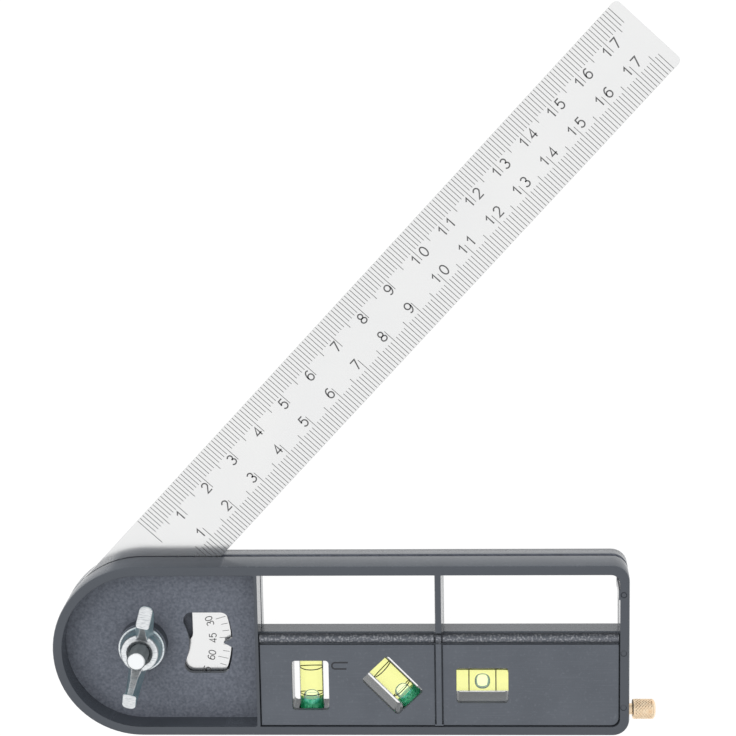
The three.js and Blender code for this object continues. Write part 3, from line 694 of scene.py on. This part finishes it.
def pad_outline(level, inset):
    """The pad's outline at a level, drawn in by an inset, with larger corners at its outer end.

    Below the face the inner end slants outwards, so the pad is a wedge that hangs on its outer end.
    """
    points = []
    for quarter, (way_x, way_y) in enumerate(((1, 1), (-1, 1), (-1, -1), (1, -1))):
        corner = PAD_OUTER_CORNER if way_x > 0 else PAD_INNER_CORNER
        undercut = PAD_UNDERCUT_SHARE * level if way_x < 0 else 0
        x = way_x * (PAD_LENGTH / 2 - corner) - undercut
        y = way_y * (PAD_WIDTH / 2 - corner)
        for step in range(PAD_CORNER_STEPS + 1):
            turn = math.pi / 2 * (quarter + step / PAD_CORNER_STEPS)
            reach = corner - inset
            points.append(Vector((x + math.cos(turn) * reach, y + math.sin(turn) * reach, level)))
    return points


def add_wing(mesh, place):
    """Adds one wing to the mesh: a leaning pad, and the web that rises to it from the hub."""
    outward = Vector((math.cos(PAD_LEAN), 0, -math.sin(PAD_LEAN)))
    upward = Vector((math.sin(PAD_LEAN), 0, math.cos(PAD_LEAN)))
    face = Vector((PAD_FACE_PLACE[0], 0, PAD_FACE_PLACE[1]))
    lean = place @ Matrix.Translation(face) @ Matrix.Rotation(PAD_LEAN, 4, "Y")
    layers = [(-share * PAD_ROUNDING, (1 - math.sqrt(1 - (1 - share) ** 2)) * PAD_ROUNDING)
              for share in PAD_ROUNDING_SHARES]
    layers += [(-PAD_DEPTH - level, inset) for level, inset in reversed(layers)]
    add_rings(mesh, [[lean @ point for point in pad_outline(level, inset)] for level, inset in layers])
    foot_end, top_end = [
        face + outward * PAD_LENGTH * along - upward * PAD_DEPTH * sunk
        for along, sunk in (WEB_FOOT_END_SHARES, WEB_TOP_END_SHARES)]
    foot_start, top_start = [Vector((WEB_ROOT_REACH, 0, level)) for level in WEB_ROOT_LEVELS]
    rings = []
    for step in range(WEB_STEPS + 1):
        share = step / WEB_STEPS
        foot = curve_point(foot_start, Vector((foot_end.x, 0, foot_start.z)), foot_end, share)
        top = curve_point(top_start, top_start.lerp(top_end, 0.5) + WEB_TOP_SAG, top_end, share)
        flare = WEB_ROOT_FLARE * (1 - share) ** 3
        foot_side = Vector((0, WEB_FOOT_HALF_WIDTH + flare, 0))
        top_side = Vector((0, WEB_TOP_HALF_WIDTH + flare, 0))
        ring = [foot - foot_side, foot + foot_side, top + top_side, top - top_side]
        rings.append([place @ point for point in ring])
    add_rings(mesh, rings)


def melted_together(mesh, name):
    """An object whose mesh is one smooth skin round all the parts of the given mesh."""
    data = bpy.data.meshes.new(name)
    bmesh.ops.recalc_face_normals(mesh, faces=mesh.faces)
    mesh.to_mesh(data)
    mesh.free()
    piece = bpy.data.objects.new(name, data)
    bpy.context.scene.collection.objects.link(piece)
    melt = piece.modifiers.new("melt", "REMESH")
    melt.mode = "VOXEL"
    melt.voxel_size = NUT_VOXEL
    ease = piece.modifiers.new("ease", "SMOOTH")
    ease.factor = NUT_SMOOTHING_SHARE
    ease.iterations = NUT_SMOOTHINGS
    piece_now = piece.evaluated_get(bpy.context.evaluated_depsgraph_get())
    piece.data = bpy.data.meshes.new_from_object(piece_now)
    piece.modifiers.clear()
    return piece


def hammer(data):
    """Dents a mesh all over along its normals, as forging does."""
    outward = [point.normal.copy() for point in data.vertices]
    for point, out in zip(data.vertices, outward):
        dent = noise.fractal(point.co / NUT_HAMMER_GRAIN, NUT_HAMMER_FADE, NUT_HAMMER_FINER,
                             NUT_HAMMER_LAYERS)
        point.co += out * dent * NUT_HAMMER_DEPTH


nut_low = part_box("wing_nut")[0]
nut_zinc = zinc_plate("nut_zinc", NUT_TINT_AND_SHADE_COLOR)
nut = bmesh.new()
add_rings(nut, [circle(reach * MM, level * MM, NUT_STEPS) for reach, level in NUT_OUTLINE_MILLIMETRES],
          endless=True)
for turn in (0, math.pi):
    add_wing(nut, Matrix.Rotation(turn, 4, "Z"))
nut.transform(Matrix.Translation((PIVOT.x, PIVOT.y, nut_low.z))
              @ Matrix.Rotation(math.radians(NUT_TURN_DEGREES), 4, "Z"))
nut_piece = melted_together(nut, "forged_wing_nut")
hammer(nut_piece.data)
nut_piece.data.materials.clear()
nut_piece.data.materials.append(nut_zinc.material)
nut_piece.data.shade_smooth()
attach(nut_piece, "nut")
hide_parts("wing_nut")


# A plain zinc-plated washer lies between the nut and the boss. Fibre washers on both sides of
# the rule's root and a bush round the bolt let the rule turn without play.
FIBRE_COLOR = (0.022, 0.024, 0.026)
FIBRE_PALE_COLOR = (0.05, 0.052, 0.055)
FIBRE_ROUGHNESS = 0.8
FIBRE_GRAIN = 0.6 * MM
FIBRE_DEPTH = 0.02 * MM
FIBRE_STRENGTH = 0.6

finish_node("flat_washer", bolt_zinc)
fibre = Finish("pressed_fibre", FIBRE_COLOR, FIBRE_ROUGHNESS)
strands = fibre.grain(FIBRE_GRAIN, detail=5.0)
fibre.set("Base Color", fibre.blend(strands, FIBRE_COLOR, FIBRE_PALE_COLOR))
fibre.relief(strands, FIBRE_DEPTH, FIBRE_STRENGTH)
for node in ("pivot_bush", "rear_friction_washer", "front_friction_washer"):
    finish_node(node, fibre)


# Each vial is an acrylic tube with a bright spirit in its bore, closed by a green plug and read
# between black rings. The tube magnifies its bore, so the spirit seems to fill the whole width.
TUBE_RADIUS = 3.05 * MM
BORE_RADIUS = 2.28 * MM
TUBE_END_WALL = 0.9 * MM
TUBE_ROUNDING = 0.5 * MM
TUBE_ROUNDING_STEPS = 6
TUBE_STEPS = 72
PLUG_LENGTH = 3.0 * MM
PLUG_CUP_RADIUS = 1.7 * MM
PLUG_CUP_DEPTH = 1.5 * MM
PLUG_CUP_RING_SHARES = ((1.0, 0.0), (0.8, 0.8), (0.4, 1.0))
PLUG_EDGE_DEGREES = 38
RING_HALF_WIDTH = 0.13 * MM
RING_THICKNESS = 0.05 * MM
BUBBLE_REACH = (1.2 * MM, 1.8 * MM, 2.0 * MM)
BUBBLE_FULLNESS = 0.9
BUBBLE_SUBDIVISIONS = 4
BUBBLE_BELOW_BORE = 0.2 * MM
VIALS = {
    "plumb": {"degrees": 90, "length": 15.2 * MM, "rings": (3.45 * MM, -3.45 * MM), "bubble": -4.1 * MM},
    "mitre": {"degrees": 134, "length": 15.2 * MM, "rings": (3.9 * MM, -3.2 * MM), "bubble": -3.6 * MM},
    "level": {"degrees": 180, "length": 21.0 * MM, "rings": (3.45 * MM, -3.45 * MM), "bubble": 0.0},
}
ACRYLIC_COLOR = (1.0, 1.0, 1.0)
ACRYLIC_ROUGHNESS = 0.01
ACRYLIC_IOR = 1.28
SPIRIT_COLOR = (0.945, 0.95, 0.40)
SPIRIT_GLOW_COLOR = (0.9, 1.0, 0.25)
SPIRIT_GLOW = 0.02
SPIRIT_IN_ACRYLIC_IOR = 0.98
AIR_COLOR = (0.93, 0.96, 0.92)
AIR_GLOW_COLOR = (0.45, 0.65, 1.0)
AIR_GLOW = 0.22
AIR_IN_SPIRIT_IOR = 0.75
PLUG_COLOR = (0.24, 0.84, 0.52)
PLUG_DARK_COLOR = (0.05, 0.50, 0.24)
PLUG_GLOW_COLOR = (0.0, 1.0, 0.45)
PLUG_GLOW = 0.03
PLUG_ROUGHNESS = 0.25
PLUG_CLEARNESS = 0.55
PLUG_IOR = 1.2
PLUG_GRAIN = 1.1 * MM
PLUG_TONE_RANGE = (0.40, 0.65)
RING_COLOR = (0.012, 0.013, 0.008)
RING_ROUGHNESS = 0.3
RING_GRAIN_ROUGHNESS = 0.2
RING_GRAIN = 0.4 * MM


def see_through(name, color, roughness, clearness, ior, glow_color=(1.0, 1.0, 1.0), glow=0.0):
    """A clear finish. A faint glow, painted light, stands for the light that is scattered inside it."""
    return Finish(name, color, roughness, others={
        "Transmission Weight": clearness,
        "IOR": ior,
        "Emission Color": glow_color,
        "Emission Strength": glow,
    })


acrylic = see_through("clear_acrylic", ACRYLIC_COLOR, ACRYLIC_ROUGHNESS, 1.0, ACRYLIC_IOR)
spirit = see_through("vial_spirit", SPIRIT_COLOR, 0.0, 1.0, SPIRIT_IN_ACRYLIC_IOR,
                     SPIRIT_GLOW_COLOR, SPIRIT_GLOW)
# The bubble's faint bluish glow is painted light as well.
bubble_air = see_through("bubble_air", AIR_COLOR, 0.0, 1.0, AIR_IN_SPIRIT_IOR, AIR_GLOW_COLOR, AIR_GLOW)
plug_green = see_through("plug_green", PLUG_COLOR, PLUG_ROUGHNESS, PLUG_CLEARNESS, PLUG_IOR,
                         PLUG_GLOW_COLOR, PLUG_GLOW)
plug_tone = plug_green.grain(PLUG_GRAIN).rise(*PLUG_TONE_RANGE)
plug_green.set("Base Color", plug_green.blend(plug_tone, PLUG_DARK_COLOR, PLUG_COLOR))
ring_black = Finish("ring_black", RING_COLOR, RING_ROUGHNESS)
ring_black.set("Roughness", RING_ROUGHNESS + ring_black.grain(RING_GRAIN) * RING_GRAIN_ROUGHNESS)


def rod(radius, low, high):
    """A round rod along Z between two levels, with the edges of its ends rounded."""
    turns = [math.pi / 2 * step / TUBE_ROUNDING_STEPS for step in range(TUBE_ROUNDING_STEPS + 1)]
    edge = [(radius - TUBE_ROUNDING * (1 - math.sin(turn)), TUBE_ROUNDING * (1 - math.cos(turn)))
            for turn in turns]
    rings = [circle(reach, low + rise, TUBE_STEPS) for reach, rise in edge]
    rings += [circle(reach, high - rise, TUBE_STEPS) for reach, rise in reversed(edge)]
    mesh = bmesh.new()
    add_rings(mesh, rings)
    return mesh


def cupped_plug(start, inner_end):
    """A plug of the bore's width between two levels, with a cup in the end that meets the spirit."""
    rings = [(BORE_RADIUS, start), (BORE_RADIUS, inner_end)]
    rings += [(PLUG_CUP_RADIUS * reach, inner_end - PLUG_CUP_DEPTH * sunk)
              for reach, sunk in PLUG_CUP_RING_SHARES]
    mesh = bmesh.new()
    add_rings(mesh, [circle(reach, level, TUBE_STEPS) for reach, level in rings])
    return mesh


def black_rings(middles):
    """Thin bands on the wall of the bore, one round each of the middle levels."""
    inner = BORE_RADIUS + RING_THICKNESS / 2
    outer = inner + RING_THICKNESS
    mesh = bmesh.new()
    for middle in middles:
        low, high = middle - RING_HALF_WIDTH, middle + RING_HALF_WIDTH
        corners = ((inner, low), (outer, low), (outer, high), (inner, high))
        add_rings(mesh, [circle(reach, level, TUBE_STEPS) for reach, level in corners], endless=True)
    return mesh


def air_bubble():
    """An ellipsoid, a little squared, because the bore's walls hem it in."""
    mesh = bmesh.new()
    bmesh.ops.create_icosphere(mesh, subdivisions=BUBBLE_SUBDIVISIONS, radius=1.0)
    for point in mesh.verts:
        point.co = Vector([math.copysign(abs(value) ** BUBBLE_FULLNESS, value) for value in point.co])
    bmesh.ops.scale(mesh, vec=BUBBLE_REACH, verts=mesh.verts)
    return mesh


bubble_rise = Matrix.Translation((0, 0, BORE_RADIUS - BUBBLE_REACH[0] - BUBBLE_BELOW_BORE))
for vial, facts in VIALS.items():
    low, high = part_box(vial + "_vial_tube")
    lying = (Matrix.Translation((low + high) / 2) @ Matrix.Rotation(math.radians(facts["degrees"]), 4, "Z")
             @ Matrix.Rotation(math.pi / 2, 4, "Y"))
    end = facts["length"] / 2
    plug_end = PLUG_LENGTH - end

    tube = piece_from(rod(TUBE_RADIUS, -end, end), vial + "_tube_skin", acrylic, "stock", lying,
                      smooth=True)
    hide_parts(vial + "_vial_tube")

    liquid = piece_from(rod(BORE_RADIUS, plug_end, end - TUBE_END_WALL), vial + "_spirit", spirit,
                        "stock", lying, smooth=True)
    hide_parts(vial + "_vial_liquid")

    plug = piece_from(cupped_plug(-end, plug_end), vial + "_cupped_plug", plug_green, "stock", lying,
                      smooth=True)
    split_edges(plug, PLUG_EDGE_DEGREES)
    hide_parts(vial + "_vial_plug")

    piece_from(black_rings(facts["rings"]), vial + "_vial_rings", ring_black, "stock", lying)
    afloat = bubble_rise @ lying @ Matrix.Translation((0, 0, facts["bubble"]))
    piece_from(air_bubble(), vial + "_vial_bubble", bubble_air, "stock", afloat, smooth=True)


# The scriber pulls out of the stock's end. Its brass head is turned, with a diamond knurl round
# the grip, and holds a hardened steel needle.
KNOB_RADIUS = 2.6 * MM
KNOB_LENGTH = 6.1 * MM
KNOB_STEPS = 132
KNOB_ROWS = 64
KNOB_EDGE_DEGREES = 35
KNOB_SHOULDER = 0.5 * MM
KNOB_CROWN = 1.0 * MM
KNOB_FLAT_SHARE = 0.18
KNURL_DEPTH = 0.14 * MM
KNURL_STARTS = 18
KNURL_LEAD = 14.0 * MM
KNURL_TOP_SHARE = 0.45
KNURL_START = 0.3 * MM
KNURL_STOP = 0.8 * MM
KNURL_FADE = 0.4 * MM
KNOB_NECK_RADIUS = 1.45 * MM
KNOB_NECK_STEPS = 32
KNOB_NECK_OVERLAP = 0.3 * MM
BRASS_COLOR = (0.92, 0.66, 0.42)
BRASS_PALE_COLOR = (1.0, 0.84, 0.62)
BRASS_ROUGHNESS = 0.2
TARNISH_ROUGHNESS = 0.2
TARNISH_GRAIN = 1.6 * MM
TARNISH_RANGE = (0.222, 0.778)
TURNED_GRAIN = 0.2 * MM
TURNED_DEPTH = 0.01 * MM
TURNED_STRENGTH = 0.5
NEEDLE_COLOR = (0.52, 0.54, 0.56)
NEEDLE_ROUGHNESS = 0.22
NEEDLE_GRAIN_ROUGHNESS = 0.2
NEEDLE_GRAIN = 0.5 * MM


def quarter_arch(share):
    """0 to 1 along a quarter of a circle, steep at the start and level at the end."""
    return math.sqrt(max(1 - (1 - share) ** 2, 0))


def knob_radius(along):
    """The knob's outline: small round-overs at both shoulders and a shallow dome at the end."""
    foot = min(along / KNOB_SHOULDER, 1.0)
    crown = min((KNOB_LENGTH - along) / KNOB_CROWN, 1.0)
    radius = KNOB_RADIUS - KNOB_SHOULDER * (1 - quarter_arch(foot))
    return radius * (KNOB_FLAT_SHARE + (1 - KNOB_FLAT_SHARE) * quarter_arch(crown))


def knurl_share(turn, along):
    """How deep the knurl is cut at a place: two crossing sets of spirals, faded out at both ends."""
    around = turn / (2 * math.pi) * KNURL_STARTS
    climb = along / KNURL_LEAD * KNURL_STARTS
    off_ridge = max(abs((around + way * climb) % 1 - 0.5) for way in (1, -1))
    groove = max(0.0, off_ridge * 2 - KNURL_TOP_SHARE) / (1 - KNURL_TOP_SHARE)
    from_foot = (along - KNURL_START) / KNURL_FADE
    from_crown = (KNOB_LENGTH - KNURL_STOP - along) / KNURL_FADE
    return groove * min(1.0, max(0.0, from_foot), max(0.0, from_crown))


def place_round_x(x, turn, radius):
    return Vector((x, math.cos(turn) * radius, math.sin(turn) * radius))


brass = Finish("turned_brass", BRASS_COLOR, BRASS_ROUGHNESS, 1.0)
tarnish = brass.grain(TARNISH_GRAIN, detail=4.0)
brass.set("Base Color", brass.blend(tarnish.rise(*TARNISH_RANGE), BRASS_COLOR, BRASS_PALE_COLOR))
brass.set("Roughness", BRASS_ROUGHNESS + tarnish * TARNISH_ROUGHNESS)
brass.relief(brass.grain(TURNED_GRAIN), TURNED_DEPTH, TURNED_STRENGTH)

head_low, head_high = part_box("scriber_head")
scriber_middle = (head_low + head_high) / 2
knob_start = head_high.x - KNOB_LENGTH
knob = bmesh.new()
rings = []
for row in range(KNOB_ROWS + 1):
    along = KNOB_LENGTH * row / KNOB_ROWS
    radius = knob_radius(along)
    turns = [2 * math.pi * step / KNOB_STEPS for step in range(KNOB_STEPS)]
    rings.append([place_round_x(knob_start + along, turn, radius - KNURL_DEPTH * knurl_share(turn, along))
                  for turn in turns])
add_rings(knob, rings)
neck_turns = [2 * math.pi * step / KNOB_NECK_STEPS for step in range(KNOB_NECK_STEPS)]
add_rings(knob, [[place_round_x(x, turn, KNOB_NECK_RADIUS) for turn in neck_turns]
                 for x in (head_low.x, knob_start + KNOB_NECK_OVERLAP)])
knob_piece = piece_from(knob, "knurled_scriber_head", brass, "scriber",
                        Matrix.Translation((0, scriber_middle.y, scriber_middle.z)), smooth=True)
split_edges(knob_piece, KNOB_EDGE_DEGREES)
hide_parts("scriber_head")

needle_steel = Finish("needle_steel", NEEDLE_COLOR, NEEDLE_ROUGHNESS, 1.0)
needle_grain = needle_steel.grain(NEEDLE_GRAIN)
needle_steel.set("Roughness", NEEDLE_ROUGHNESS + needle_grain * NEEDLE_GRAIN_ROUGHNESS)
finish_node("scriber_needle", needle_steel)


# A plain white floor lies just under the stock. It takes the stock's shadow, and shows nearly
# white to the camera and in metal and glass.
FLOOR_SIDE = 6000 * MM
FLOOR_DROP = 0.3 * MM
FLOOR_COLOR = (0.86, 0.86, 0.86)
FLOOR_ROUGHNESS = 0.9
WHITE = (1.0, 1.0, 1.0)
FLOOR_WHITE_STRENGTH = 1.07
FLOOR_WHITE_SHARE = 0.92
FLOOR_WHITE_RAYS = ("Is Camera Ray", "Is Glossy Ray", "Is Transmission Ray")

floor_mesh = bmesh.new()
bmesh.ops.create_grid(floor_mesh, x_segments=1, y_segments=1, size=FLOOR_SIDE / 2)
floor_data = bpy.data.meshes.new("floor")
floor_mesh.to_mesh(floor_data)
floor_mesh.free()
floor = bpy.data.objects.new("floor", floor_data)
floor.location.z = -FLOOR_DROP
bpy.context.scene.collection.objects.link(floor)

floor_finish = Finish("floor", FLOOR_COLOR, FLOOR_ROUGHNESS)
floor_finish.material.cycles.emission_sampling = "NONE"
white = floor_finish.add("ShaderNodeEmission", {}, {"Color": WHITE, "Strength": FLOOR_WHITE_STRENGTH})
camera_ray, glossy_ray, transmission_ray = [
    floor_finish.add("ShaderNodeLightPath", {}, {}, ray) for ray in FLOOR_WHITE_RAYS]
seen = (camera_ray + glossy_ray + transmission_ray).rise(0.0, 1.0)
plain = Socket(floor_finish, floor_finish.shader.outputs["BSDF"])
mixed = floor_finish.add("ShaderNodeMixShader", {}, {0: seen * FLOOR_WHITE_SHARE, 1: plain, 2: white})
floor_finish.feed(floor_finish.nodes["Material Output"].inputs["Surface"], mixed)
floor_data.materials.append(floor_finish.material)


# A pale sky lights the tool from all round, dimmer towards the horizon, and two large soft
# lamps give it a side. The lamps don't show in the steel.
SKY_HEIGHTS = (0.1, 0.8)
SKY_LOW_STRENGTH = 0.55
SKY_HIGH_STRENGTH = 1.0
LAMPS = {
    "window_light": {"place": (-900 * MM, 700 * MM, 1300 * MM), "side": 1800 * MM, "watts": 16.0},
    "fill_light": {"place": (1000 * MM, -300 * MM, 1200 * MM), "side": 2000 * MM, "watts": 5.0},
}

world = bpy.data.worlds.new("studio")
bpy.context.scene.world = world
world.use_nodes = True
sky = NodeTree(world.node_tree)
sky_height = sky.part(sky.add("ShaderNodeTexCoord", {}, {}, "Generated"), "Z").rise(*SKY_HEIGHTS)
background = sky.nodes["Background"].inputs
sky.feed(background["Color"], WHITE)
sky.feed(background["Strength"],
         SKY_LOW_STRENGTH + sky_height * (SKY_HIGH_STRENGTH - SKY_LOW_STRENGTH))

for name, facts in LAMPS.items():
    lamp = bpy.data.lights.new(name, "AREA")
    lamp.shape = "SQUARE"
    lamp.size = facts["side"]
    lamp.energy = facts["watts"]
    light = bpy.data.objects.new(name, lamp)
    light.location = facts["place"]
    light.rotation_euler = (-Vector(facts["place"])).to_track_quat("-Z", "Y").to_euler()
    light.visible_glossy = False
    bpy.context.scene.collection.objects.link(light)

bpy.context.scene.view_settings.view_transform = "Standard"
